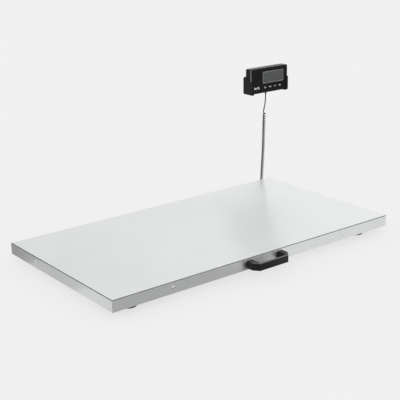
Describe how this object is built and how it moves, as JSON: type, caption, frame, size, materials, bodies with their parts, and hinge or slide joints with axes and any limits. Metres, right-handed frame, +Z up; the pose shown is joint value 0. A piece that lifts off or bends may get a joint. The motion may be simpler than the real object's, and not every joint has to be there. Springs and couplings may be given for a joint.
{
  "type": "animal weighing scale",
  "caption": "Low steel platform scale for animals, with a carrying handle, levelling feet and an indicator in a wall cradle on a curly cord.",
  "frame": {"origin": "on the floor under the middle of the platform, between the four feet", "axes": "+X along the platform's long side to the indicator's end, +Y from the handle to the wall, +Z up"},
  "size_m": [1.036, 0.5917, 0.4125],
  "materials": {
    "brushed_stainless": "brushed",
    "frame_paint": "powder coat, light texture",
    "zinc_steel": "zinc plated",
    "bright_screw": "polished",
    "handle_plastic": "fine moulded texture",
    "brass": "turned",
    "cell_aluminium": "milled",
    "pad_rubber": "moulded, matt",
    "box_plastic": "moulded",
    "gland_nylon": "moulded nylon",
    "cord_jacket": "extruded polyurethane, satin",
    "lead_jacket": "extruded vinyl",
    "case_plastic": "fine spark-eroded texture",
    "cradle_plastic": "fine moulded texture",
    "window_acrylic": "clear, smoke tint",
    "display_glass": "liquid crystal panel",
    "circuit_board": "solder mask",
    "key_rubber": "silicone, printed",
    "cell_wrap": "printed sleeve",
    "contact_nickel": "nickel plated"
  },
  "bodies": {
    "platform": {"deck_cover": "brushed_stainless", "cover_screws": "bright_screw", "rivet_nuts": "zinc_steel", "front_rail": "frame_paint", "back_rail": "frame_paint", "left_rail": "frame_paint", "right_rail": "frame_paint", "left_cross_tube": "frame_paint", "middle_cross_tube": "frame_paint", "right_cross_tube": "frame_paint", "carrying_handle": "handle_plastic", "handle_inserts": "brass", "handle_screws": "zinc_steel", "load_cell_1": "cell_aluminium", "load_cell_2": "cell_aluminium", "load_cell_3": "cell_aluminium", "load_cell_4": "cell_aluminium", "cell_brackets": "frame_paint", "cell_spacers": "cell_aluminium", "cell_screws": "zinc_steel", "lock_nuts": "zinc_steel", "junction_bracket": "frame_paint", "junction_box": "box_plastic", "junction_lid": "box_plastic", "junction_screws": "zinc_steel", "summing_board": "circuit_board", "cell_leads": "lead_jacket", "inner_lead": "cord_jacket", "cable_clips": "gland_nylon", "cable_gland": "gland_nylon", "gland_nut": "gland_nylon", "cradle": "cradle_plastic", "cord_curly_part": "cord_jacket", "cord_lower_lead": "cord_jacket"},
    "foot_1": {"foot_pad_1": "pad_rubber"},
    "stem_1": {"foot_stem_1": "zinc_steel"},
    "foot_2": {"foot_pad_2": "pad_rubber"},
    "stem_2": {"foot_stem_2": "zinc_steel"},
    "foot_3": {"foot_pad_3": "pad_rubber"},
    "stem_3": {"foot_stem_3": "zinc_steel"},
    "foot_4": {"foot_pad_4": "pad_rubber"},
    "stem_4": {"foot_stem_4": "zinc_steel"},
    "indicator": {"front_shell": "case_plastic", "rear_shell": "case_plastic", "display_window": "window_acrylic", "display_module": "display_glass", "main_board": "circuit_board", "keypad_mat": "key_rubber", "dry_cells": "cell_wrap", "battery_contacts": "contact_nickel", "shell_screws": "zinc_steel", "cord_boot": "cord_jacket", "cord_upper_lead": "cord_jacket"},
    "key_1": {"key_1": "key_rubber"},
    "key_2": {"key_2": "key_rubber"},
    "key_3": {"key_3": "key_rubber"},
    "key_4": {"key_4": "key_rubber"},
    "battery_door": {"battery_door": "case_plastic"}
  },
  "joints": [
    {"name": "foot_1_level", "type": "slide", "parent": "platform", "child": "foot_1", "axis": [0, 0, 1], "range_m": [-0.01, 0.002]},
    {"name": "stem_1_turn", "type": "hinge", "parent": "foot_1", "child": "stem_1", "pos_m": [-0.3965, -0.2025, 0], "axis": [0, 0, 1], "range_deg": [-2880, 576]},
    {"name": "foot_2_level", "type": "slide", "parent": "platform", "child": "foot_2", "axis": [0, 0, 1], "range_m": [-0.01, 0.002]},
    {"name": "stem_2_turn", "type": "hinge", "parent": "foot_2", "child": "stem_2", "pos_m": [0.3965, -0.2025, 0], "axis": [0, 0, 1], "range_deg": [-2880, 576]},
    {"name": "foot_3_level", "type": "slide", "parent": "platform", "child": "foot_3", "axis": [0, 0, 1], "range_m": [-0.01, 0.002]},
    {"name": "stem_3_turn", "type": "hinge", "parent": "foot_3", "child": "stem_3", "pos_m": [0.3965, 0.2025, 0], "axis": [0, 0, 1], "range_deg": [-2880, 576]},
    {"name": "foot_4_level", "type": "slide", "parent": "platform", "child": "foot_4", "axis": [0, 0, 1], "range_m": [-0.01, 0.002]},
    {"name": "stem_4_turn", "type": "hinge", "parent": "foot_4", "child": "stem_4", "pos_m": [-0.3965, 0.2025, 0], "axis": [0, 0, 1], "range_deg": [-2880, 576]},
    {"name": "indicator_lift", "type": "slide", "parent": "platform", "child": "indicator", "axis": [0, 0, 1], "range_m": [0, 0.06], "deforming": ["cord_curly_part"]},
    {"name": "key_1_press", "type": "slide", "parent": "indicator", "child": "key_1", "axis": [0, 1, 0], "range_m": [0, 0.0008], "stiffness_N_per_m": 1500, "springref_m": -0.0006},
    {"name": "key_2_press", "type": "slide", "parent": "indicator", "child": "key_2", "axis": [0, 1, 0], "range_m": [0, 0.0008], "stiffness_N_per_m": 1500, "springref_m": -0.0006},
    {"name": "key_3_press", "type": "slide", "parent": "indicator", "child": "key_3", "axis": [0, 1, 0], "range_m": [0, 0.0008], "stiffness_N_per_m": 1500, "springref_m": -0.0006},
    {"name": "key_4_press", "type": "slide", "parent": "indicator", "child": "key_4", "axis": [0, 1, 0], "range_m": [0, 0.0008], "stiffness_N_per_m": 1500, "springref_m": -0.0006},
    {"name": "battery_door_slide", "type": "slide", "parent": "indicator", "child": "battery_door", "axis": [0, 0, 1], "range_m": [0, 0.05]}
  ],
  "couplings": [
    {"joint": "stem_1_turn", "follows": "foot_1_level", "rad_per_m": 5026.5},
    {"joint": "stem_2_turn", "follows": "foot_2_level", "rad_per_m": 5026.5},
    {"joint": "stem_3_turn", "follows": "foot_3_level", "rad_per_m": 5026.5},
    {"joint": "stem_4_turn", "follows": "foot_4_level", "rad_per_m": 5026.5}
  ]
}
